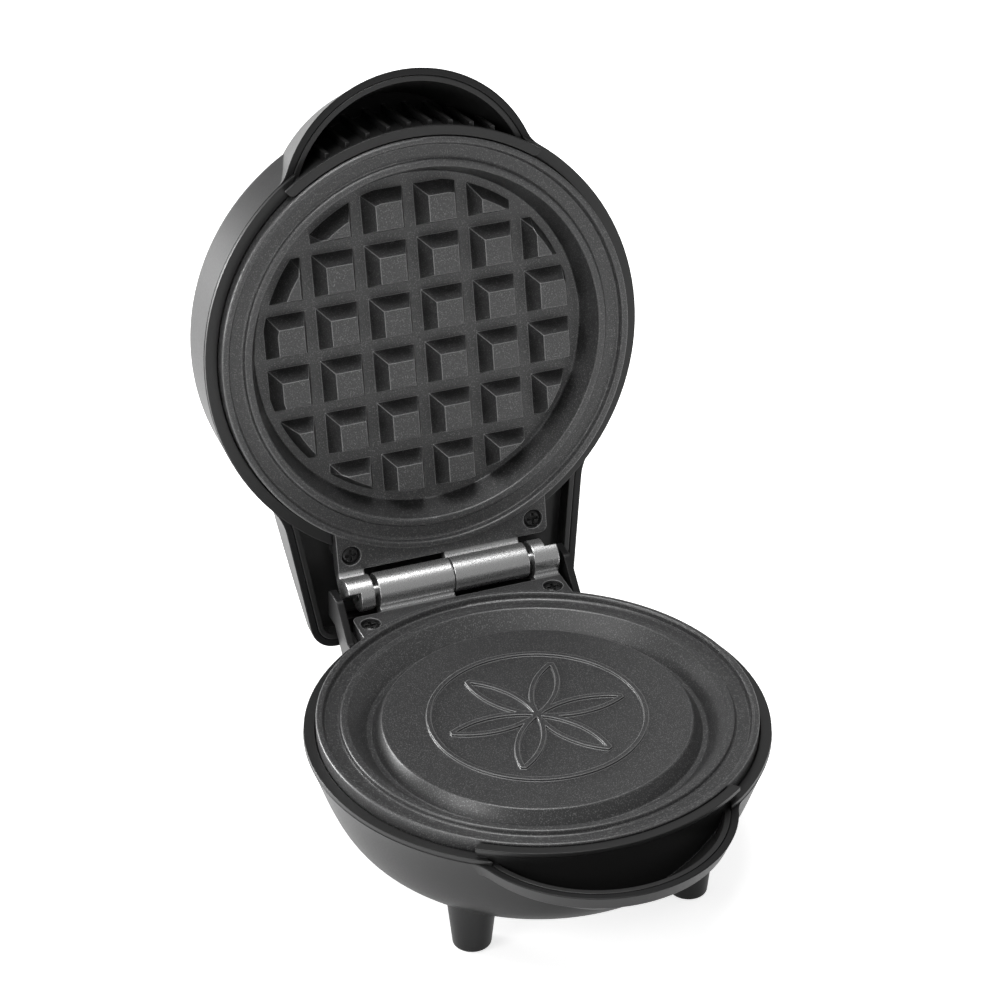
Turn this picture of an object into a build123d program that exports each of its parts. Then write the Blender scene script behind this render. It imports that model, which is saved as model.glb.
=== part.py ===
"""A mini waffle maker with a hinged lid, standing open on its four legs.

Both halves are drawn mouth up, with the lip of the cooking plate at z = 0 and its centre at
x = y = 0. The front, with the grip, faces -Y and the hinge is at +Y. The lid half is then
turned over, set on the base half and opened about the hinge pin.
"""
import os
from math import cos, radians, sin, sqrt, tan

from build123d import *

os.makedirs("parts", exist_ok=True)

# Cooking plates
plate_radius = 60.0
plate_skirt_depth = 7.5
plate_skirt_width = 3.0
plate_metal = 3.0
lip_width = 1.8
flange_drop = 2.0
bead_inset = 8.6
bead_width = 1.9
bead_drop = 0.6
edge_round = 0.5

# Waffle grid of the lid plate
grid_floor_depth = 8.9
grid_floor_inset = 3.0
stud_count = 6
stud_pitch = 15.5
stud_base = 12.3
stud_height = 6.4
stud_draft = 20.0
stud_field_inset = 2.4

# Dished floor of the base plate
trough_depth = 6.0
trough_inset = 5.8
trough_width = 1.4
plateau_inset = 3.4
plateau_drop = 1.9

# Rosette pressed into the base plate
petal_count = 6
petal_reach = 25.0
rosette_ring_radius = 29.5
ridge_width = 1.3
ridge_height = 0.7

# Hinge
hinge_offset = 8.5
plate_gap = 4.8
open_angle = 100.2
knuckle_radius = 5.1
barrel_length = 22.6
barrel_split = 0.4
ear_gap = 1.6
ear_width = 7.5
ear_eye_width = 4.0
pin_radius = 2.0
pin_clearance = 0.05
pin_end = 0.4
knuckle_clearance = 0.5
tab_half_width = 31.7
tab_drop = 1.5
tab_thickness = 4.0
tab_screw_side_inset = 4.1
tab_screw_rear_inset = 4.6

# Screws
screw_shank_radius = 1.5
screw_head_radius = 2.6
screw_head_height = 1.4
screw_length = 10.0
lid_screw_inset = 10.2
screw_recess_width = 0.8
screw_recess_depth = 0.8
counterbore_margin = 0.3
boss_wall = 2.0

# Inner frames
rim_drop = 4.0
rim_thickness = 1.3
plate_clearance = 0.4
frame_wall = 1.5
frame_clearance = 0.2
tub_inset = 4.5
tub_gap = 1.2
rail_drop = 0.6
rail_overhang = 1.2
rail_half_angle = 36.0
rail_end_round = 1.4
neck_floor_depth = 10.0

# Fins in the grip of the lid
fin_count = 9
fin_pitch = 6.0
fin_thickness = 1.2
fin_reach = 2.2
fin_drop = 2.2

# Outer shells
shell_wall = 2.0
base_rim_width = 3.5
base_waist_depth = 20.0
base_waist_inset = 5.3
base_depth = 36.0
base_floor_inset = 23.5
lid_rim_width = 3.8
lid_wall_draft = 5.0
lid_depth = 32.0
lid_shoulder_inset = 13.8
lid_crown = 1.5
lid_crown_run = 36.0
lid_round = 7.0
grip_round = 5.0
liner_crown_gap = 1.0

# Grip arches at the front
grip_radius = 38.0
grip_set_back = 19.5
grip_side_draft = 22.0
base_grip_band = 4.4
base_underside_run = 1.25
base_pocket_depth = 15.0
lid_pocket_depth = 22.0
grip_blend = 9.0

# Necks round the hinge
base_neck_cover = 3.9
base_neck_draft = 10.0
base_neck_round = 6.0
ear_top = 3.7
ear_length = 7.7
ear_round = 2.0
lid_cheek_room = 10.0
lid_cheek_taper = 6.0
lid_cheek_length = 41.5
lid_neck_cover = 18.0
neck_corner = 7.0
neck_blend = 16.0

# Legs
front_leg_angle = 44.0
front_leg_overhang = 5.2
rear_leg_x = 20.0
rear_leg_inset = 14.4
leg_length = 10.5
leg_top_radius = 6.9
leg_foot_radius = 5.2
leg_foot_round = 0.8
leg_root_height = 6.0
leg_bore_radius = 3.2
leg_bore_depth = 10.0
pad_radius = 3.9
pad_proud = 0.5
pad_seat = 1.5
leg_screw_length = 14.0

# Heating and electrics
element_radius = 32.0
element_tube_radius = 3.2
element_sink = 1.6
element_sweep = 300.0
element_clearance = 0.1
terminal_pin_radius = 1.0
terminal_pin_length = 5.0
reflector_inset = 4.0
reflector_rim = 3.0
reflector_sheet = 0.8
reflector_gap = 7.0
post_radius = 4.0
thermostat_radius = 7.0
thermostat_height = 5.0
thermostat_offset = 15.0
fuse_radius = 2.0
fuse_length = 13.0
block_size = (24.0, 11.0, 10.0)
block_offset = 24.0
block_hole_radius = 1.6
block_hole_spacing = 12.0
gland_radius = 5.0
gland_neck_radius = 4.0
gland_bore_radius = 2.6
gland_proud = 2.5
gland_drop = 24.5
lens_radius = 3.0
lens_flange = 1.2
lens_proud = 0.8
lens_offset = 30.0
lamp_radius = 2.2
lamp_length = 5.0

# Worked out from the sizes above
hinge_height = plate_gap / 2
hinge_reach = plate_radius + hinge_offset
bead_inner_radius = plate_radius - bead_inset
grid_floor_radius = bead_inner_radius - grid_floor_inset
stud_field_radius = grid_floor_radius - stud_field_inset
trough_radius = bead_inner_radius - trough_inset
plateau_radius = trough_radius - plateau_inset
frame_inner_radius = plate_radius + plate_clearance
tub_radius = plate_radius - tub_inset
base_rim_radius = plate_radius + base_rim_width
lid_rim_radius = plate_radius + lid_rim_width
base_floor_radius = base_rim_radius - base_floor_inset
grip_centre = plate_radius - grip_set_back
shell_edge = rim_drop + rim_thickness
rail_radius = frame_inner_radius + frame_wall
liner_inset = shell_wall + frame_clearance
pocket_inset = liner_inset + frame_wall
ear_start = barrel_length + ear_gap
tab_edge = hinge_reach - knuckle_radius - knuckle_clearance
tab_screw_x = tab_half_width - tab_screw_side_inset
tab_screw_y = tab_edge - tab_screw_rear_inset
ledge_radius = tub_radius - frame_wall
reflector_radius = ledge_radius - reflector_inset
lid_screw_reach = (ledge_radius - lid_screw_inset) / sqrt(2)
base_neck_half_width = tab_half_width + pocket_inset
base_neck_reach = hinge_reach + base_neck_cover
lid_neck_half_width = base_neck_half_width + lid_cheek_room
lid_neck_rear_half_width = lid_neck_half_width - lid_cheek_taper
lid_neck_reach = hinge_reach + lid_neck_cover
front_leg_reach = base_floor_radius + front_leg_overhang
front_leg_x = front_leg_reach * sin(radians(front_leg_angle))
front_leg_y = -front_leg_reach * cos(radians(front_leg_angle))
rear_leg_y = base_neck_reach - rear_leg_inset
base_under = trough_depth + plate_metal
lid_under = grid_floor_depth + plate_metal
base_tub = base_under + reflector_gap + reflector_sheet + tub_gap
lid_tub = lid_under + reflector_gap + reflector_sheet + tub_gap
pin_half = ear_start + ear_eye_width + pin_end
ground = -base_depth - leg_length
flange_under = flange_drop + plate_metal - knuckle_clearance


def plate_blank(well_profile, under_depth):
    """Turned blank of a plate: outer lip, flange, bead, then the given well to the centre."""
    skirt_inner = plate_radius - plate_skirt_width
    bead_outer = bead_inner_radius + bead_width
    under_radius = bead_inner_radius - edge_round
    with BuildPart() as blank:
        with BuildSketch(Plane.XZ) as section:
            with BuildLine():
                Polyline(
                    *well_profile,
                    (bead_inner_radius, -bead_drop),
                    (bead_outer, -bead_drop),
                    (bead_outer + edge_round, -flange_drop),
                    (plate_radius - lip_width - edge_round, -flange_drop),
                    (plate_radius - lip_width, 0),
                    (plate_radius, 0),
                    (plate_radius, -plate_skirt_depth),
                    (skirt_inner, -plate_skirt_depth),
                    (skirt_inner, -flange_under),
                    (under_radius + plate_metal, -flange_under),
                    (under_radius, -under_depth),
                    (0, -under_depth),
                    close=True,
                )
            make_face()
            crests = section.vertices().filter_by(lambda v: v.Z > -plateau_drop / 2)
            fillet(crests, edge_round)
        revolve(axis=Axis.Z)
    return blank.part


def hinge_side(side):
    """Screw tab, long barrel and notched ear; side is -1 where the barrel is at -X."""
    tilt = radians(30)
    web_rear = (hinge_reach + knuckle_radius * sin(tilt), hinge_height - knuckle_radius * cos(tilt))
    web_foot = hinge_reach - knuckle_radius + edge_round
    tab_bottom = tab_drop + tab_thickness
    barrel_middle = side * (barrel_length + barrel_split / 2) / 2
    barrel_real = barrel_length - barrel_split / 2
    ear_middle = -side * (ear_start + ear_width / 2)
    with BuildPart() as carrier:
        with BuildSketch(Plane.XY.offset(-tab_drop)):
            with Locations((0, (tab_edge + plate_radius / 2) / 2)):
                Rectangle(2 * tab_half_width, tab_edge - plate_radius / 2)
            Circle(plate_radius - edge_round, mode=Mode.SUBTRACT)
        extrude(amount=-tab_thickness)
        corners = carrier.edges().filter_by(Axis.Z).filter_by(lambda e: e.center().Y > tab_edge - 0.1)
        fillet(corners, boss_wall)
        for middle, width in ((barrel_middle, barrel_real), (ear_middle, ear_width)):
            with BuildSketch(Plane.YZ.offset(middle)):
                with Locations((hinge_reach, hinge_height)):
                    Circle(knuckle_radius)
                with BuildLine():
                    Polyline(
                        (tab_edge - boss_wall, -tab_drop),
                        (web_foot, -tab_drop),
                        (hinge_reach, hinge_height),
                        web_rear,
                        (web_foot, -tab_bottom),
                        (tab_edge - boss_wall, -tab_bottom),
                        close=True,
                    )
                make_face()
            extrude(amount=width / 2, both=True)
        notch_start = ear_start + ear_eye_width
        notch_width = ear_width - ear_eye_width
        across = Plane(
            origin=(-side * (notch_start + notch_width / 2), hinge_reach, hinge_height),
            x_dir=(1, 0, 0),
            z_dir=(0, cos(tilt), sin(tilt)),
        )
        with BuildSketch(across.offset(edge_round)):
            Rectangle(notch_width, 3 * knuckle_radius)
        extrude(amount=2 * knuckle_radius, mode=Mode.SUBTRACT)
        with BuildSketch(Plane.YZ.offset(side * barrel_length)):
            with Locations((hinge_reach, hinge_height)):
                Circle(pin_radius + pin_clearance)
        extrude(amount=-side * (barrel_length + pin_half + pin_clearance), mode=Mode.SUBTRACT)
        for x in (-tab_screw_x, tab_screw_x):
            with BuildSketch(Plane.XY.offset(-tab_drop)):
                with Locations((x, tab_screw_y)):
                    Circle(screw_head_radius + counterbore_margin)
            extrude(amount=-screw_head_height, mode=Mode.SUBTRACT)
            with BuildSketch(Plane.XY.offset(-tab_drop)):
                with Locations((x, tab_screw_y)):
                    Circle(screw_shank_radius + frame_clearance)
            extrude(amount=-tab_thickness, mode=Mode.SUBTRACT)
    return carrier.part


def plate_back(under_depth):
    """Groove for the heating tube and the post that holds the reflector."""
    tube_height = -under_depth - element_tube_radius + element_sink
    with BuildPart() as groove:
        with BuildSketch(Plane.XZ):
            with Locations((element_radius, tube_height)):
                Circle(element_tube_radius + element_clearance)
        revolve(axis=Axis.Z)
    with BuildPart() as post:
        with BuildSketch(Plane.XY.offset(-under_depth)):
            Circle(post_radius)
        extrude(amount=-reflector_gap)
    with BuildPart() as pilot:
        with BuildSketch(Plane.XY.offset(-under_depth - reflector_gap)):
            Circle(screw_shank_radius)
        extrude(amount=reflector_gap)
    return groove.part, post.part, pilot.part


def tab_screws():
    """The two cross-head screws that hold a plate by its tab."""
    head_top = -tab_drop - screw_head_height / 4
    with BuildPart() as screws:
        with Locations((-tab_screw_x, tab_screw_y, head_top), (tab_screw_x, tab_screw_y, head_top)):
            add(cross_screw(screw_length))
    return screws.part


def cross_screw(length):
    """One screw, head up, with the top of its head at z = 0."""
    head = screw_head_height * 3 / 4
    with BuildPart() as screw:
        with BuildSketch(Plane.XZ):
            with BuildLine():
                Polyline(
                    (0, 0),
                    (screw_head_radius * 2 / 3, 0),
                    (screw_head_radius, -head / 2),
                    (screw_head_radius, -head),
                    (screw_shank_radius, -head),
                    (screw_shank_radius, -length),
                    (0, -length - screw_shank_radius),
                    close=True,
                )
            make_face()
        revolve(axis=Axis.Z)
        with BuildSketch():
            Rectangle(screw_head_radius * 4 / 3, screw_recess_width)
            Rectangle(screw_recess_width, screw_head_radius * 4 / 3)
        extrude(amount=-screw_recess_depth, mode=Mode.SUBTRACT)
    return screw.part


def arc_through(centre, radius, start, end):
    """Arc of under half a turn about a centre, from start to end."""
    middle = (Vector(*start) - Vector(*centre) + Vector(*end) - Vector(*centre)).normalized()
    return ThreePointArc(start, Vector(*centre) + middle * radius, end)


def grip_joint(rim, arch, centre_y):
    """Centre of the blend between the rim and the grip arch, and where it touches the two."""
    reach = rim + grip_blend
    grip_span = arch + grip_blend
    y = (grip_span**2 - reach**2 - centre_y**2) / (2 * centre_y)
    centre = Vector(sqrt(reach**2 - y**2), y)
    hub = Vector(0, -centre_y)
    return centre, centre * (rim / reach), hub + (centre - hub) * (arch / grip_span)


def neck_joint(rim, foot, tip, blend):
    """Centre of the blend between the rim and a cheek of the neck, and where it touches them."""
    along = (Vector(*tip) - Vector(*foot)).normalized()
    outward = Vector(along.Y, -along.X)
    start = Vector(*foot) + outward * blend
    reach = rim + blend
    run = -start.dot(along) + sqrt(start.dot(along) ** 2 - start.dot(start) + reach**2)
    centre = start + along * run
    return centre, centre * (rim / reach), centre - outward * blend, outward


def grip_plan(rim, arch, centre_y):
    """Plan of a half at its rim: a circle with the grip arch at the front."""
    blend, on_rim, on_grip = grip_joint(rim, arch, centre_y)
    with BuildSketch() as plan:
        with BuildLine():
            ThreePointArc((-on_grip.X, on_grip.Y), (0, -centre_y - arch), (on_grip.X, on_grip.Y))
            arc_through((blend.X, blend.Y), grip_blend, (on_grip.X, on_grip.Y), (on_rim.X, on_rim.Y))
            arc_through((-blend.X, blend.Y), grip_blend, (-on_rim.X, on_rim.Y), (-on_grip.X, on_grip.Y))
            ThreePointArc((on_rim.X, on_rim.Y), (0, rim), (-on_rim.X, on_rim.Y))
        make_face()
    return plan.sketch


def neck_plan():
    """Plan of the lid at its rim: a circle with the cheeks of the hinge neck at the back."""
    foot = (lid_neck_half_width, lid_neck_reach - lid_cheek_length)
    tip = (lid_neck_rear_half_width, lid_neck_reach)
    sweep, leave, land, outward = neck_joint(lid_rim_radius, foot, tip, neck_blend)
    corner_y = lid_neck_reach - neck_corner
    corner_x = (Vector(*tip).dot(outward) - neck_corner - corner_y * outward.Y) / outward.X
    turn = Vector(corner_x, corner_y) + outward * neck_corner
    with BuildSketch() as plan:
        with BuildLine():
            for s in (1, -1):
                rim_end = (s * leave.X, leave.Y)
                cheek_start = (s * land.X, land.Y)
                cheek_end = (s * turn.X, turn.Y)
                rear_end = (s * corner_x, lid_neck_reach)
                arc_through((s * sweep.X, sweep.Y), neck_blend, rim_end, cheek_start)
                Line(cheek_start, cheek_end)
                arc_through((s * corner_x, corner_y), neck_corner, cheek_end, rear_end)
            Line((corner_x, lid_neck_reach), (-corner_x, lid_neck_reach))
            ThreePointArc((leave.X, leave.Y), (0, -lid_rim_radius), (-leave.X, leave.Y))
        make_face()
    return plan.sketch


def crown_zone(inset):
    """Everything under the domed crown of the lid, drawn in by inset."""
    crown = -lid_depth - lid_crown + inset
    eave = (lid_rim_radius + lid_crown_run, -shell_edge + inset / 2)
    with BuildPart() as zone:
        with BuildSketch(Plane.XZ):
            with BuildLine():
                Spline(
                    (0, crown),
                    (lid_rim_radius - lid_shoulder_inset, -lid_depth + inset),
                    eave,
                    tangents=((1, 0), (0.75, 1)),
                )
                Polyline(eave, (eave[0], 0), (0, 0), (0, crown))
            make_face()
        revolve(axis=Axis.Z)
    return zone.part


def lid_form(inset):
    """Outer form of the lid half, drawn in by inset all round."""
    side_run = lid_depth * tan(radians(lid_wall_draft))
    front_run = lid_depth * tan(radians(grip_side_draft))
    top_plan = grip_plan(lid_rim_radius, grip_radius, grip_centre)
    low_arch = grip_radius - side_run
    low_plan = grip_plan(lid_rim_radius - 2 * side_run, low_arch, grip_centre + grip_radius - front_run - low_arch)
    with BuildPart() as body:
        with BuildSketch(Plane.XY.offset(-shell_edge)):
            add(neck_plan())
            offset(amount=-inset)
        extrude(amount=-lid_depth, taper=lid_wall_draft)
        add(crown_zone(inset), mode=Mode.INTERSECT)
        fillet(body.faces().sort_by(Axis.Z)[0].edges(), lid_round - inset)
    with BuildPart() as grip:
        for plan, height in ((top_plan, -shell_edge), (low_plan, -shell_edge - lid_depth)):
            with BuildSketch(Plane.XY.offset(height)):
                add(plan)
                offset(amount=-inset)
        loft(ruled=True)
        add(crown_zone(inset), mode=Mode.INTERSECT)
        fillet(grip.faces().sort_by(Axis.Z)[0].edges(), grip_round - inset)
    return body.part + grip.part


def lid_liner_form(inset):
    """Plainer form inside the lid shell that the lid's inner frame fills, drawn in by inset."""
    with BuildPart() as form:
        for plan, draft in (
            (neck_plan(), lid_wall_draft),
            (grip_plan(lid_rim_radius, grip_radius, grip_centre), grip_side_draft),
        ):
            with BuildSketch(Plane.XY.offset(-shell_edge)):
                add(plan)
                offset(amount=-inset)
            extrude(amount=-lid_depth, taper=draft)
        add(crown_zone(inset + liner_crown_gap), mode=Mode.INTERSECT)
    return form.part


def base_neck(inset):
    """Block under the hinge at the back of the base half, drawn in by inset."""
    top = base_neck_half_width - inset
    floor = -base_depth + inset
    bottom = top - (-shell_edge - floor) * tan(radians(base_neck_draft))
    with BuildPart() as neck:
        with BuildSketch(Plane.XZ):
            with BuildLine():
                Polyline(
                    (-top, -shell_edge),
                    (top, -shell_edge),
                    (bottom, floor),
                    (-bottom, floor),
                    close=True,
                )
            make_face()
        extrude(amount=inset - base_neck_reach)
        below = neck.edges().filter_by(lambda e: e.center().Z < -shell_edge - 1)
        fillet(below.filter_by(lambda e: e.center().Y > 1), base_neck_round - inset)
    return neck.part


def base_form(inset):
    """Outer form of the base half, drawn in by inset all round."""
    floor = -base_depth + inset
    rim = base_rim_radius - inset
    fold = -shell_edge - base_grip_band
    grip = grip_radius - inset - base_grip_band * tan(radians(grip_side_draft))
    under_depth = base_depth - inset + fold
    with BuildPart() as form:
        with BuildSketch(Plane.XZ):
            with BuildLine():
                Spline(
                    (rim, -shell_edge),
                    (rim - base_waist_inset, -base_waist_depth),
                    (base_floor_radius - inset, floor),
                    tangents=((-0.4, -1), (-1, -0.12)),
                )
                Polyline((base_floor_radius - inset, floor), (0, floor), (0, -shell_edge), (rim, -shell_edge))
            make_face()
        revolve(axis=Axis.Z)
        with BuildSketch(Plane.XY.offset(-shell_edge)):
            add(grip_plan(base_rim_radius, grip_radius, grip_centre))
            offset(amount=-inset)
        extrude(amount=-base_grip_band, taper=grip_side_draft)
        with Locations((0, -grip_centre, fold)):
            Cone(
                grip - under_depth * base_underside_run,
                grip,
                under_depth,
                align=(Align.CENTER, Align.CENTER, Align.MAX),
            )
        add(base_neck(inset))
    return form.part


def outside_ring(radius, low, high, front):
    """Everything in front of (or behind) the plate ring, outside the given radius."""
    reach = lid_neck_reach
    far = -reach if front else reach
    near = -grip_centre if front else tab_screw_y / 2
    with BuildPart() as zone:
        with BuildSketch(Plane.XY.offset(low)):
            with Locations((0, (far + near) / 2)):
                Rectangle(2 * reach, abs(far - near))
            Circle(radius, mode=Mode.SUBTRACT)
        extrude(amount=high - low)
    return zone.part


def inner_frame(form, rim_radius, tub_depth, pocket_depth, fins):
    """Black inner frame of a half: rim, tub, grip pocket with its rail, and hinge tray."""
    ledge = -plate_skirt_depth
    tub_floor = -tub_depth - frame_wall
    pocket_floor = -shell_edge - pocket_depth
    tray_floor = -neck_floor_depth
    rim_edge = rim_radius - frame_clearance / 2
    spigot = rim_radius - shell_wall - frame_clearance
    skin = form(liner_inset)
    hollow = form(pocket_inset)
    pocket_block = skin & outside_ring(frame_inner_radius, pocket_floor - frame_wall, 0, True)
    pocket_hollow = hollow & outside_ring(rail_radius, pocket_floor, 0, True)
    tray_block = skin & outside_ring(ledge_radius, tray_floor - frame_wall, 0, False)
    tray_hollow = hollow & outside_ring(spigot, tray_floor, 0, False)
    with BuildPart() as tub:
        with BuildSketch(Plane.XZ):
            with BuildLine():
                Polyline(
                    (0, tub_floor),
                    (tub_radius, tub_floor),
                    (tub_radius, ledge - frame_wall),
                    (spigot, ledge - frame_wall),
                    (spigot, -shell_edge),
                    (frame_inner_radius, -shell_edge),
                    (frame_inner_radius, ledge),
                    (ledge_radius, ledge),
                    (ledge_radius, -tub_depth),
                    (0, -tub_depth),
                    close=True,
                )
            make_face()
        revolve(axis=Axis.Z)
    with BuildPart() as frame:
        with BuildSketch(Plane.XY.offset(-shell_edge)):
            Circle(rim_edge)
            with Locations((0, -grip_centre)):
                Circle(grip_radius - shell_wall, mode=Mode.SUBTRACT)
            Circle(rail_radius)
            Circle(frame_inner_radius, mode=Mode.SUBTRACT)
        extrude(amount=shell_edge - rim_drop)
        add(tub.part & skin)
        add(pocket_block)
        add(tray_block)
        add(pocket_hollow, mode=Mode.SUBTRACT)
        add(tray_hollow, mode=Mode.SUBTRACT)
        with BuildSketch(Plane.XY.offset(-rim_drop)):
            add(rail_plan(rail_radius))
        extrude(amount=rim_drop - rail_drop)
        with BuildSketch(Plane.XY.offset(-rail_drop)):
            add(rail_plan(rail_radius + rail_overhang))
        extrude(amount=-rail_overhang)
        with BuildSketch(Plane.XY.offset(ledge)):
            Circle(frame_inner_radius)
            with Locations((0, hinge_reach / 2)):
                Rectangle(2 * (tab_half_width + plate_clearance), hinge_reach)
        extrude(amount=plate_skirt_depth, mode=Mode.SUBTRACT)
        for x in (-tab_screw_x, tab_screw_x):
            with BuildSketch(Plane.XY.offset(tray_floor)):
                with Locations((x, tab_screw_y)):
                    Circle(screw_shank_radius + boss_wall)
            extrude(amount=neck_floor_depth - tab_drop - tab_thickness)
            with BuildSketch(Plane.XY.offset(-tab_drop)):
                with Locations((x, tab_screw_y)):
                    Circle(screw_shank_radius + pin_clearance)
            extrude(amount=-screw_length - boss_wall, mode=Mode.SUBTRACT)
        if fins:
            add(fin_row(pocket_floor) & (skin + grip_mouth()))
    return frame.part


def fin_row(floor):
    """Upright fins on the ring wall of the lid's grip pocket, seen between the fingers."""
    with BuildPart() as fins:
        for i in range(fin_count):
            x = (i - (fin_count - 1) / 2) * fin_pitch
            wall_y = -sqrt(rail_radius**2 - x**2)
            with BuildSketch(Plane.YZ.offset(x)):
                with BuildLine():
                    Polyline(
                        (wall_y + frame_wall / 2, -rail_drop - fin_drop),
                        (wall_y - fin_reach, -rail_drop - fin_drop),
                        (wall_y - fin_reach, floor),
                        (wall_y + frame_wall / 2, floor),
                        close=True,
                    )
                make_face()
            extrude(amount=fin_thickness / 2, both=True)
    return fins.part


def grip_mouth():
    """The mouth of the grip pocket, carried up past the rim of the frame."""
    with BuildPart() as mouth:
        with BuildSketch(Plane.XY.offset(-shell_edge)):
            with Locations((0, -grip_centre)):
                Circle(grip_radius - shell_wall)
        extrude(amount=shell_edge)
    return mouth.part


def rail_plan(outer):
    """Arc-shaped strip along the front of the plate, as wide as the grip and rounded off."""
    reach = 2 * plate_radius
    side = reach * sin(radians(rail_half_angle))
    front = -reach * cos(radians(rail_half_angle))
    with BuildSketch() as strip:
        Circle(outer)
        Circle(frame_inner_radius, mode=Mode.SUBTRACT)
        with BuildLine():
            Polyline((0, 0), (side, front), (side, -reach), (-side, -reach), (-side, front), close=True)
        make_face(mode=Mode.INTERSECT)
        fillet(strip.vertices().sort_by(Axis.Y)[-2:], rail_end_round)
    return strip.sketch


def reflector(under_depth):
    """Bright pan that throws the heat back at the plate."""
    top = -under_depth - reflector_gap
    with BuildPart() as pan:
        with BuildSketch(Plane.XY.offset(top)):
            Circle(reflector_radius)
        extrude(amount=-reflector_sheet)
        with BuildSketch(Plane.XY.offset(top)):
            Circle(reflector_radius)
            Circle(reflector_radius - reflector_sheet, mode=Mode.SUBTRACT)
        extrude(amount=reflector_rim)
        with BuildSketch(Plane.XY.offset(top)):
            Circle(screw_shank_radius + frame_clearance)
        extrude(amount=-reflector_sheet, mode=Mode.SUBTRACT)
    return pan.part


def heating_element(under_depth):
    """Tubular heater bent into an open ring, with a terminal pin at each end."""
    height = -under_depth - element_tube_radius + element_sink
    start = 90 + (360 - element_sweep) / 2
    with BuildPart() as tube:
        first = Plane(
            origin=(0, 0, 0),
            x_dir=(cos(radians(start)), sin(radians(start)), 0),
            z_dir=(sin(radians(start)), -cos(radians(start)), 0),
        )
        with BuildSketch(first):
            with Locations((element_radius, height)):
                Circle(element_tube_radius)
        revolve(axis=Axis.Z, revolution_arc=element_sweep)
        for angle, turn in ((start, -1), (start + element_sweep, 1)):
            c = cos(radians(angle))
            s = sin(radians(angle))
            tube_end = (element_radius * c, element_radius * s, height)
            with BuildSketch(Plane(origin=tube_end, z_dir=(-turn * s, turn * c, 0))):
                Circle(terminal_pin_radius)
            extrude(amount=terminal_pin_length)
    return tube.part


# Base plate: dished, with a raised centre that carries the rosette
plateau = [
    (0, -plateau_drop),
    (plateau_radius, -plateau_drop),
    (trough_radius - trough_width / 2, -trough_depth),
    (trough_radius + trough_width / 2, -trough_depth),
]
base_groove, base_post, base_pilot = plate_back(base_under)
with BuildSketch() as petal_ring:
    Circle(petal_reach + ridge_width / 2)
    Circle(petal_reach - ridge_width / 2, mode=Mode.SUBTRACT)
with BuildPart() as base_plate:
    add(plate_blank(plateau, base_under))
    add(hinge_side(-1))
    with BuildSketch(Plane.XY.offset(-plateau_drop)):
        with PolarLocations(petal_reach, petal_count):
            add(petal_ring.sketch)
        Circle(petal_reach, mode=Mode.INTERSECT)
    extrude(amount=ridge_height)
    with BuildSketch(Plane.XY.offset(-plateau_drop)):
        Circle(rosette_ring_radius + ridge_width / 2)
        Circle(rosette_ring_radius - ridge_width / 2, mode=Mode.SUBTRACT)
    extrude(amount=ridge_height)
    add(base_post)
    add(base_groove, mode=Mode.SUBTRACT)
    add(base_pilot, mode=Mode.SUBTRACT)

# Lid plate: deep well with a waffle grid trimmed to a round field
well = [(0, -grid_floor_depth), (grid_floor_radius, -grid_floor_depth)]
lid_groove, lid_post, lid_pilot = plate_back(lid_under)
with BuildPart() as lid_plate:
    add(plate_blank(well, lid_under))
    add(hinge_side(-1))
    with BuildSketch(Plane.XY.offset(-grid_floor_depth)):
        with GridLocations(stud_pitch, stud_pitch, stud_count, stud_count):
            Rectangle(stud_base, stud_base)
        Circle(stud_field_radius, mode=Mode.INTERSECT)
    extrude(amount=stud_height, taper=stud_draft)
    add(lid_post)
    add(lid_groove, mode=Mode.SUBTRACT)
    add(lid_pilot, mode=Mode.SUBTRACT)

# Inner frames
lid_corners = [(x * lid_screw_reach, y * lid_screw_reach) for x in (-1, 1) for y in (-1, 1)]
with BuildPart() as base_inner_frame:
    add(inner_frame(base_form, base_rim_radius, base_tub, base_pocket_depth, False))
    for x, y, top in ((front_leg_x, front_leg_y, -base_tub), (rear_leg_x, rear_leg_y, -neck_floor_depth)):
        for s in (-1, 1):
            with BuildSketch(Plane.XY.offset(-base_depth + leg_root_height)):
                with Locations((s * x, y)):
                    Circle(screw_shank_radius + boss_wall)
                    Circle(screw_shank_radius + pin_clearance, mode=Mode.SUBTRACT)
            extrude(amount=top + base_depth - leg_root_height - frame_wall / 2)
with BuildPart() as lid_inner_frame:
    add(inner_frame(lid_liner_form, lid_rim_radius, lid_tub, lid_pocket_depth, True))
    with BuildSketch(Plane.XY.offset(-lid_tub)):
        with Locations(*lid_corners):
            Circle(screw_shank_radius + frame_clearance)
    extrude(amount=-frame_wall, mode=Mode.SUBTRACT)

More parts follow.
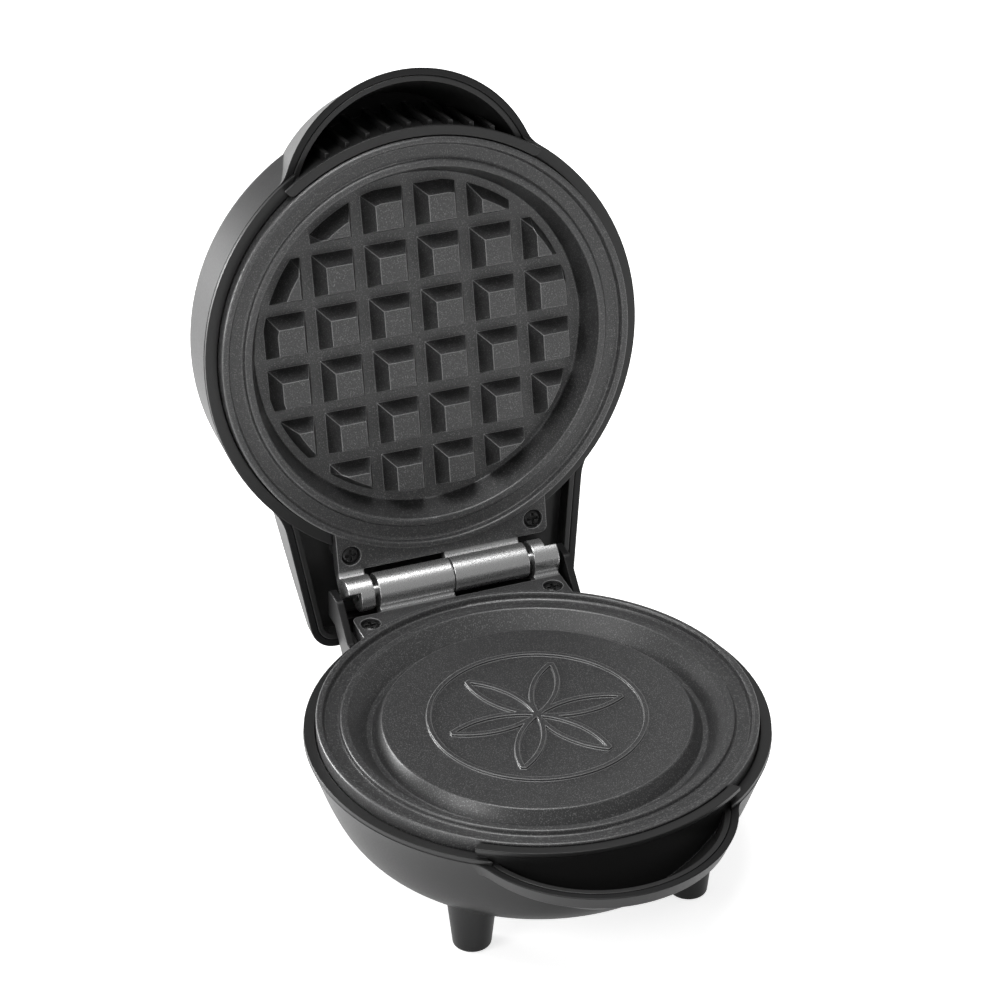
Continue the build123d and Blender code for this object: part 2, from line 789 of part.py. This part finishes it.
# Base shell: bowl with four legs, ears beside the hinge and a hole for the cord gland
legs = [(s * x, y) for x, y in ((front_leg_x, front_leg_y), (rear_leg_x, rear_leg_y)) for s in (-1, 1)]
with BuildPart() as leg:
    Cone(
        leg_foot_radius,
        leg_top_radius,
        leg_length + leg_root_height - pad_proud,
        align=(Align.CENTER, Align.CENTER, Align.MIN),
    )
    fillet(leg.edges().sort_by(Axis.Z)[0], leg_foot_round)
with BuildPart() as base_shell:
    add(base_form(0))
    add(base_form(shell_wall), mode=Mode.SUBTRACT)
    for s in (-1, 1):
        with BuildSketch(Plane.YZ.offset(s * base_neck_half_width)):
            with BuildLine():
                Polyline(
                    (base_neck_reach - ear_length - ear_top - shell_edge, -shell_edge),
                    (base_neck_reach - ear_length, ear_top),
                    (base_neck_reach, ear_top),
                    (base_neck_reach, -shell_edge),
                    close=True,
                )
            ear = make_face()
            fillet(ear.vertices().sort_by(Axis.Z)[-2:], ear_round)
        extrude(amount=-s * shell_wall)
    with Locations(*[(x, y, ground + pad_proud) for x, y in legs]):
        add(leg.part)
    for x, y in legs:
        with BuildSketch(Plane.XY.offset(ground + pad_proud)):
            with Locations((x, y)):
                Circle(pad_radius + frame_clearance / 2)
        extrude(amount=pad_seat, mode=Mode.SUBTRACT)
        with BuildSketch(Plane.XY.offset(ground + pad_proud)):
            with Locations((x, y)):
                Circle(leg_bore_radius)
        extrude(amount=leg_bore_depth, mode=Mode.SUBTRACT)
        with BuildSketch(Plane.XY.offset(ground + pad_proud)):
            with Locations((x, y)):
                Circle(screw_shank_radius + frame_clearance)
        extrude(amount=leg_length + leg_root_height, mode=Mode.SUBTRACT)
    with BuildSketch(Plane.XZ.offset(-base_neck_reach)):
        with Locations((0, -gland_drop)):
            Circle(gland_neck_radius + frame_clearance / 2)
    extrude(amount=shell_wall * 3, mode=Mode.SUBTRACT)

# Lid shell: domed cover with the hole for the lens and posts for the frame screws
with BuildPart() as lid_post_set:
    with BuildSketch(Plane.XY.offset(-lid_tub - frame_wall)):
        with Locations(*lid_corners):
            Circle(screw_shank_radius + boss_wall)
            Circle(screw_shank_radius + pin_clearance, mode=Mode.SUBTRACT)
    extrude(amount=-lid_depth)
with BuildPart() as lid_shell:
    add(lid_form(0))
    add(lid_form(shell_wall), mode=Mode.SUBTRACT)
    add(lid_post_set.part & lid_form(shell_wall / 2))
    with BuildSketch(Plane.XY.offset(-lid_depth / 2)):
        with Locations((0, -lens_offset)):
            Circle(lens_radius + frame_clearance / 2)
    extrude(amount=-lid_depth, mode=Mode.SUBTRACT)

# Indicator in the top of the lid
lens_top = -lid_depth - lid_crown - lens_proud
lens_seat = -lid_depth + shell_wall + frame_clearance
with BuildPart() as indicator_lens:
    with BuildSketch(Plane.XY.offset(lens_top)):
        with Locations((0, -lens_offset)):
            Circle(lens_radius)
    extrude(amount=lens_seat + lens_flange - lens_top)
    with BuildSketch(Plane.XY.offset(lens_seat)):
        with Locations((0, -lens_offset)):
            Circle(lens_radius + lens_flange)
    extrude(amount=lens_flange)
    fillet(indicator_lens.edges().sort_by(Axis.Z)[0], lens_proud / 2)
with BuildPart() as indicator_lamp:
    with BuildSketch(Plane.XY.offset(lens_seat + lens_flange)):
        with Locations((0, -lens_offset)):
            Circle(lamp_radius)
    extrude(amount=lamp_length)

# Hinge pin through all four knuckles
with BuildPart() as hinge_pin:
    with BuildSketch(Plane.YZ.offset(-pin_half)):
        with Locations((hinge_reach, hinge_height)):
            Circle(pin_radius)
    extrude(amount=2 * pin_half)
    chamfer(hinge_pin.edges().filter_by(GeomType.CIRCLE), pin_end)

# Screws
with BuildPart() as base_plate_screws:
    add(tab_screws())
with BuildPart() as lid_plate_screws:
    add(tab_screws())
with BuildPart() as lid_frame_screws:
    with Locations(*[(x, y, -lid_tub + screw_head_height * 3 / 4) for x, y in lid_corners]):
        add(cross_screw(screw_length / 2))
leg_screw_seat = ground + pad_proud + leg_bore_depth - screw_head_height * 3 / 4
with BuildPart() as leg_screws:
    with Locations(*[Location((x, y, leg_screw_seat), (180, 0, 0)) for x, y in legs]):
        add(cross_screw(leg_screw_length))
post_end = reflector_gap + reflector_sheet + screw_head_height * 3 / 4
with BuildPart() as base_reflector_screw:
    with Locations(Location((0, 0, -base_under - post_end), (180, 0, 0))):
        add(cross_screw(screw_length / 2))
with BuildPart() as lid_reflector_screw:
    with Locations(Location((0, 0, -lid_under - post_end), (180, 0, 0))):
        add(cross_screw(screw_length / 2))

# Heaters and reflectors
with BuildPart() as base_heating_element:
    add(heating_element(base_under))
with BuildPart() as lid_heating_element:
    add(heating_element(lid_under))
with BuildPart() as base_reflector:
    add(reflector(base_under))
with BuildPart() as lid_reflector:
    add(reflector(lid_under))

# Controls under the base plate
with BuildPart() as thermostat:
    with BuildSketch(Plane.XY.offset(-base_under)):
        with Locations((-thermostat_offset, 0)):
            Circle(thermostat_radius)
    extrude(amount=-thermostat_height)
with BuildPart() as thermal_fuse:
    with BuildSketch(Plane.XZ.offset(-fuse_length / 2)):
        with Locations((thermostat_offset, -base_under - fuse_radius - element_clearance)):
            Circle(fuse_radius)
    extrude(amount=fuse_length)
with BuildPart() as terminal_block:
    with Locations((0, block_offset, -base_depth + shell_wall)):
        Box(*block_size, align=(Align.CENTER, Align.CENTER, Align.MIN))
    with Locations((0, block_offset, -base_depth + shell_wall + block_size[2] / 2)):
        with GridLocations(block_hole_spacing, block_hole_spacing, 2, 1):
            Cylinder(block_hole_radius, block_size[1], rotation=(90, 0, 0), mode=Mode.SUBTRACT)

# Cord gland in the back wall
with BuildPart() as cord_gland:
    with BuildSketch(Plane.XZ.offset(-base_neck_reach - gland_proud)):
        with Locations((0, -gland_drop)):
            Circle(gland_radius)
    extrude(amount=gland_proud - frame_clearance)
    with BuildSketch(Plane.XZ.offset(-base_neck_reach - gland_proud)):
        with Locations((0, -gland_drop)):
            Circle(gland_neck_radius)
    extrude(amount=gland_proud + 2 * shell_wall)
    with BuildSketch(Plane.XZ.offset(-base_neck_reach - gland_proud)):
        with Locations((0, -gland_drop)):
            Circle(gland_bore_radius)
    extrude(amount=gland_proud + 2 * shell_wall, mode=Mode.SUBTRACT)

# Foot pads
pads = {}
for (x, y), side in zip(legs, ("front_left", "front_right", "rear_left", "rear_right")):
    with BuildPart() as foot_pad:
        with BuildSketch(Plane.XY.offset(ground)):
            with Locations((x, y)):
                Circle(pad_radius)
        extrude(amount=pad_proud + pad_seat)
        chamfer(foot_pad.edges().sort_by(Axis.Z)[0], pad_proud / 2)
    pads["foot_pad_" + side] = foot_pad

base_pieces = {
    "base_shell": base_shell,
    "base_inner_frame": base_inner_frame,
    "base_plate": base_plate,
    "base_plate_screws": base_plate_screws,
    "base_heating_element": base_heating_element,
    "base_reflector": base_reflector,
    "base_reflector_screw": base_reflector_screw,
    "thermostat": thermostat,
    "thermal_fuse": thermal_fuse,
    "terminal_block": terminal_block,
    "cord_gland": cord_gland,
    "leg_screws": leg_screws,
    "hinge_pin": hinge_pin,
    **pads,
}
lid_pieces = {
    "lid_shell": lid_shell,
    "lid_inner_frame": lid_inner_frame,
    "lid_plate": lid_plate,
    "lid_plate_screws": lid_plate_screws,
    "lid_heating_element": lid_heating_element,
    "lid_reflector": lid_reflector,
    "lid_reflector_screw": lid_reflector_screw,
    "lid_frame_screws": lid_frame_screws,
    "indicator_lens": indicator_lens,
    "indicator_lamp": indicator_lamp,
}

# The lid half is turned over on to the base half and opened about the pin
pin_axis = Pos(0, hinge_reach, hinge_height)
turned_over = Pos(0, 0, plate_gap) * Rot(0, 180, 0)
opened = pin_axis * Rot(-open_angle, 0, 0) * pin_axis.inverse() * turned_over
for piece in lid_pieces.values():
    piece.part.move(opened)

# The origin lies on the ground, under the middle of the open waffle maker
pieces = {**base_pieces, **lid_pieces}
outline_box = Compound(children=[piece.part.moved(Location()) for piece in pieces.values()]).bounding_box()
middle = outline_box.center()
stand = Pos(-middle.X, -middle.Y, -ground)
for name, piece in pieces.items():
    piece.part.move(stand)
    piece.part.label = name
    export_step(piece.part, "parts/" + name + ".step")

pin_point = stand * pin_axis
print("hinge axis passes through", pin_point.position)
print("plate centre at", (stand * Pos(0, 0, 0)).position)
print("box", outline_box.size)
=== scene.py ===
import bmesh
import bpy
from math import cos, radians, sin
from mathutils import Matrix, Vector

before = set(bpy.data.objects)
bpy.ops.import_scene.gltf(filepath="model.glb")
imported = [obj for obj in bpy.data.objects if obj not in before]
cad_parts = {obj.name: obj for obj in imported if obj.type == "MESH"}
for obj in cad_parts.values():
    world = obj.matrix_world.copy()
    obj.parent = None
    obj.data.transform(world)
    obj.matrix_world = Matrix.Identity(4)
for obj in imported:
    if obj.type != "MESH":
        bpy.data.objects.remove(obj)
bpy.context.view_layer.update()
scene = bpy.context.scene

# Camera. It stands in front of the waffle maker, to the left and above, with a long lens.
# Its place is the one from which the outlines of both plates fall where the photograph has them.
plate_centre = Vector((0, -0.0224287, 0.0465))
azimuth, elevation, roll = radians(-20.802), radians(31.517), radians(-0.177)
distance, aim_right, aim_up = 0.9511, -0.01014, 0.05682
lens_length, film_width, nearest, farthest = 126.6, 36, 0.05, 20
back = Vector((sin(azimuth) * cos(elevation), -cos(azimuth) * cos(elevation), sin(elevation)))
level = Vector((cos(azimuth), sin(azimuth), 0))
upright = back.cross(level)
right = level * cos(roll) + upright * sin(roll)
up = upright * cos(roll) - level * sin(roll)
camera = bpy.data.objects.new("camera", bpy.data.cameras.new("camera"))
camera.data.lens = lens_length
camera.data.sensor_width = film_width
camera.data.clip_start, camera.data.clip_end = nearest, farthest
eye = plate_centre + back * distance + right * aim_right + up * aim_up
camera.matrix_world = Matrix.Translation(eye) @ Matrix((right, up, back)).transposed().to_4x4()
scene.collection.objects.link(camera)
scene.camera = camera


# Floor and white studio. The floor is a broad white sheet that glows for the camera, and less for
# mirror rays, so that it looks pure white with a faint shadow under the legs. The world gives an
# even, dim light from all sides, and the camera sees it as white.
class Shade:
    """A shader socket that ordinary arithmetic works on."""

    def __init__(self, tree, socket=None):
        self.tree = tree
        self.socket = socket

    def make(self, kind, settings=None, values=None, output=0):
        node = self.tree.nodes.new(kind)
        for name, value in (settings or {}).items():
            if name == "stops":
                ramp = node.color_ramp.elements
                while len(ramp) < len(value):
                    ramp.new(1)
                for stop, (position, grey) in zip(ramp, value):
                    stop.position = position
                    stop.color = (grey, grey, grey, 1)
            else:
                setattr(node, name, value)
        for name, value in (values or {}).items():
            if isinstance(value, Shade):
                self.tree.links.new(value.socket, node.inputs[name])
            else:
                node.inputs[name].default_value = value
        return Shade(self.tree, node.outputs[output])

    def maths(self, operation, *numbers):
        return self.make("ShaderNodeMath", {"operation": operation}, dict(enumerate(numbers)))

    def __add__(self, other):
        return self.maths("ADD", self, other)

    def __sub__(self, other):
        return self.maths("SUBTRACT", self, other)

    def __rsub__(self, other):
        return self.maths("SUBTRACT", other, self)

    def __mul__(self, other):
        return self.maths("MULTIPLY", self, other)

    __radd__, __rmul__ = __add__, __mul__

    def blend(self, low, high):
        """Colour from low to high as this value goes from 0 to 1. Each end is a colour or a socket."""
        first_colour, second_colour, result_colour = 6, 7, 2
        first, second = (end if isinstance(end, Shade) else (*end, 1) for end in (low, high))
        sockets = {"Factor": self, first_colour: first, second_colour: second}
        return self.make("ShaderNodeMix", {"data_type": "RGBA"}, sockets, result_colour)


def new_material(name, **fixed):
    """A Principled material with fixed socket values, and the start of its shader maths."""
    material = bpy.data.materials.new(name)
    material.use_nodes = True
    surface = material.node_tree.nodes["Principled BSDF"]
    for socket, value in fixed.items():
        socket = socket.replace("_", " ").title().replace("Ior", "IOR")
        surface.inputs[socket].default_value = (*value, 1) if isinstance(value, tuple) else value
    return material, surface, Shade(material.node_tree)


def plug_in(surface, **links):
    """Joins shader sockets to the inputs of a material's surface, such as base_color."""
    for socket, value in links.items():
        value.tree.links.new(value.socket, surface.inputs[socket.replace("_", " ").title()])


def dress(material, *names):
    """Gives CAD pieces, or new ones, their material."""
    for name in names:
        piece = bpy.data.objects[name]
        piece.data.materials.clear()
        piece.data.materials.append(material)


floor_reach, floor_glow, mirrored = 6.0, 0.75, 0.5
floor_white, dark, bright, sky_grey = (0.9, 0.9, 0.9), (0, 0, 0), (1, 1, 1), (0.33, 0.33, 0.33)
bm = bmesh.new()
bmesh.ops.create_grid(bm, x_segments=1, y_segments=1, size=floor_reach)
floor = bpy.data.objects.new("floor", bpy.data.meshes.new("floor"))
bm.to_mesh(floor.data)
bm.free()
scene.collection.objects.link(floor)
floor_paint, surface, shade = new_material("floor_white", base_color=floor_white, roughness=0.9)
surface.inputs["Emission Strength"].default_value = floor_glow
by_camera = shade.make("ShaderNodeLightPath", output="Is Camera Ray")
by_mirror = shade.make("ShaderNodeLightPath", output="Is Glossy Ray")
plug_in(surface, emission_color=(by_camera + by_mirror * mirrored).blend(dark, bright))
dress(floor_paint, "floor")

world = bpy.data.worlds.new("studio")
world.use_nodes = True
scene.world = world
background = world.node_tree.nodes["Background"]
by_camera = Shade(world.node_tree).make("ShaderNodeLightPath", output="Is Camera Ray")
world.node_tree.links.new(by_camera.blend(sky_grey, bright).socket, background.inputs["Color"])

# Lamps. A broad soft panel hangs above, one stands at the left, and a third one, low at the
# left rear, gives the shells their bright left edge. Each row holds its place, what it is aimed at,
# its width in metres and its power in watts.
for name, place, aim, size, power in (
    ("lamp_top", (-0.15, 0.0, 1.5), (0, 0, 0.08), 1.0, 17.0),
    ("lamp_left", (-1.4, -0.5, 0.8), (0, 0, 0.08), 0.8, 7.5),
    ("lamp_rear", (-1.2, 1.2, 0.25), (0, 0, 0.1), 0.9, 42.0),
):
    lamp = bpy.data.objects.new(name, bpy.data.lights.new(name, "AREA"))
    lamp.data.shape = "DISK"
    lamp.data.size = size
    lamp.data.energy = power
    lamp.location = place
    lamp.rotation_mode = "QUATERNION"
    lamp.rotation_quaternion = (Vector(aim) - Vector(place)).to_track_quat("-Z", "Y")
    scene.collection.objects.link(lamp)


# Outer shells. Both halves are moulded in dark grey plastic with a fine sparked grain, which
# blurs the studio's light into a soft sheen, and their edges are slightly rounded.
def grained_normal(shade, scale, depth, edge, detail=2.0):
    """Fine noise on the CAD's own coordinates, and a normal bumped by it with rounded edges."""
    bevel_samples, bump_height = 6, 0.0001
    place = shade.make("ShaderNodeTexCoord", output="Object")
    grain = shade.make("ShaderNodeTexNoise", None, {"Vector": place, "Scale": scale, "Detail": detail})
    soft = shade.make("ShaderNodeBevel", {"samples": bevel_samples}, {"Radius": edge})
    bump = {"Strength": depth, "Distance": bump_height, "Height": grain, "Normal": soft}
    return grain, shade.make("ShaderNodeBump", None, bump)


def grained_material(name, dark, light, scale, depth, edge, smooth, spread, **fixed):
    """A grained material. Its colour runs from dark to light and its roughness from smooth by spread."""
    material, surface, shade = new_material(name, **fixed)
    grain, normal = grained_normal(shade, scale, depth, edge)
    plug_in(surface, normal=normal, base_color=grain.blend(dark, light), roughness=grain * spread + smooth)
    return material


shell_plastic = grained_material(
    "shell_plastic", dark=(0.008, 0.008, 0.0083), light=(0.012, 0.012, 0.0123),
    scale=1800.0, depth=0.1, edge=0.0006, smooth=0.3, spread=0.12, specular_ior_level=0.3,
)
dress(shell_plastic, "base_shell", "lid_shell")

# Inner frames. In each half the rim, the grip pocket and the hinge tray are one moulding of
# black satin plastic, which is screwed into the shell and holds the plate.
frame_black = grained_material(
    "frame_black", dark=(0.013, 0.013, 0.013), light=(0.019, 0.019, 0.019),
    scale=2200.0, depth=0.08, edge=0.0004, smooth=0.3, spread=0.1,
)
dress(frame_black, "base_inner_frame", "lid_inner_frame")


# Cooking plates. They are die cast in aluminium and sprayed with a dark grey non-stick coat that
# carries fine bright flakes. On the hinge barrels the coat is thin and the cast metal shines
# through, and along every edge the coat's colour is lightened by a painted highlight.
def edge_mask(shade, radius, gain):
    """One on every edge within this radius, else nought."""
    bevel_samples = 6
    soft = shade.make("ShaderNodeBevel", {"samples": bevel_samples}, {"Radius": radius})
    plain = shade.make("ShaderNodeNewGeometry", output="Normal")
    alike = shade.make("ShaderNodeVectorMath", {"operation": "DOT_PRODUCT"}, {0: soft, 1: plain}, "Value")
    return shade.make("ShaderNodeClamp", None, {"Value": (1 - alike) * gain})


coat_dark, flake_light = (0.022, 0.022, 0.0225), (0.13, 0.13, 0.13)
# The edge colour is a painted highlight for the plates' edges. The barrel colour is the bare metal's own.
painted_edge_highlight, barrel_light = (0.3, 0.3, 0.3), (0.6, 0.6, 0.6)
flake_scale, flake_depth, flake_detail, flake_edge = 3000.0, 0.22, 1.0, 0.0005
flake_stops = ((0.55, 0), (0.72, 1))
edge_reach, edge_gain, coat_roughness, shine = 0.0004, 6.0, 0.4, 0.1
barrel_reach, barrel_fade, barrel_metal, hinge_y, hinge_z = 0.0058, 0.0012, 0.9, 0.0460713, 0.0489
nonstick, surface, shade = new_material("nonstick", specular_ior_level=0.9)
flakes, normal = grained_normal(shade, flake_scale, flake_depth, flake_edge, flake_detail)
spots = shade.make("ShaderNodeValToRGB", {"stops": flake_stops}, {"Fac": flakes})
place = shade.make("ShaderNodeTexCoord", output="Object")
along = shade.make("ShaderNodeSeparateXYZ", None, {"Vector": place}, "Y") - hinge_y
above = shade.make("ShaderNodeSeparateXYZ", None, {"Vector": place}, "Z") - hinge_z
reach = shade.maths("SQRT", along * along + above * above)
worn = ((barrel_reach + barrel_fade) - reach) * (1 / barrel_fade)
worn = shade.make("ShaderNodeClamp", None, {"Value": worn})
rims = edge_mask(shade, edge_reach, edge_gain)
# Along every edge the coat's colour is lightened to a painted highlight.
coat = rims.blend(spots.blend(coat_dark, flake_light), painted_edge_highlight)
roughness = coat_roughness - spots * shine - worn * shine - rims * shine
base_color = worn.blend(coat, barrel_light)
plug_in(surface, normal=normal, base_color=base_color, roughness=roughness, metallic=worn * barrel_metal)
dress(nonstick, "base_plate", "lid_plate")

# Screws. They are cross headed, of steel with a black oxide skin that is rubbed a little bright,
# and hold the plates' tabs, the lid's frame, the legs and the reflectors.
screw_black = grained_material(
    "screw_black", dark=(0.02, 0.02, 0.02), light=(0.07, 0.07, 0.07),
    scale=1500.0, depth=0.1, edge=0.0003, smooth=0.2, spread=0.2, metallic=0.8,
)
dress(screw_black, "base_plate_screws", "lid_plate_screws", "lid_frame_screws", "leg_screws")
dress(screw_black, "base_reflector_screw", "lid_reflector_screw")

# Hinge pin. It is bright drawn steel, pressed through the eyes and barrels of both plates,
# and its ends are flush with the outer eyes.
pin_steel = grained_material(
    "pin_steel", dark=(0.42, 0.42, 0.42), light=(0.62, 0.62, 0.62),
    scale=900.0, depth=0.05, edge=0.0002, smooth=0.2, spread=0.1, metallic=1.0,
)
dress(pin_steel, "hinge_pin")

# Foot pads and cord gland. They are moulded in black rubber and pressed into their holes,
# with a dull skin that shows a light bloom.
rubber = grained_material(
    "rubber", dark=(0.008, 0.008, 0.008), light=(0.02, 0.02, 0.02),
    scale=700.0, depth=0.15, edge=0.0003, smooth=0.65, spread=0.2,
)
dress(rubber, "cord_gland")
for corner in ("front_left", "front_right", "rear_left", "rear_right"):
    dress(rubber, "foot_pad_" + corner)

# Heating elements and thermostat. Their steel sheaths are bent to shape and browned by the
# heat, and they lie under the plates.
element_steel = grained_material(
    "element_steel", dark=(0.16, 0.15, 0.15), light=(0.4, 0.39, 0.37),
    scale=250.0, depth=0.1, edge=0.0003, smooth=0.3, spread=0.2, metallic=1.0,
)
dress(element_steel, "base_heating_element", "lid_heating_element", "thermostat")

# Reflectors. They are pressed from bright aluminised sheet, held by one screw each, and send
# the heat back to the plates.
bright_sheet = grained_material(
    "bright_sheet", dark=(0.62, 0.62, 0.63), light=(0.8, 0.8, 0.81),
    scale=400.0, depth=0.05, edge=0.0003, smooth=0.22, spread=0.15, metallic=1.0,
)
dress(bright_sheet, "base_reflector", "lid_reflector")

# Thermal fuse and terminal block. Both have bodies of off-white glazed ceramic and heat-proof
# plastic, fixed inside the base.
white_ceramic = grained_material(
    "white_ceramic", dark=(0.68, 0.66, 0.6), light=(0.82, 0.81, 0.77),
    scale=600.0, depth=0.1, edge=0.0003, smooth=0.4, spread=0.2,
)
dress(white_ceramic, "thermal_fuse", "terminal_block")

# Indicator. A clear red plastic lens snaps into the lid's top, over a small glass neon lamp,
# which is off.
lens_red = grained_material(
    "lens_red", dark=(0.12, 0.004, 0.004), light=(0.3, 0.01, 0.01),
    scale=500.0, depth=0.02, edge=0.0003, smooth=0.1, spread=0.1, coat_weight=0.5,
)
dress(lens_red, "indicator_lens")
neon = grained_material(
    "neon", dark=(0.5, 0.1, 0.03), light=(0.8, 0.25, 0.1),
    scale=900.0, depth=0.02, edge=0.0002, smooth=0.1, spread=0.1,
)
dress(neon, "indicator_lamp")

scene.view_settings.view_transform = "Standard"
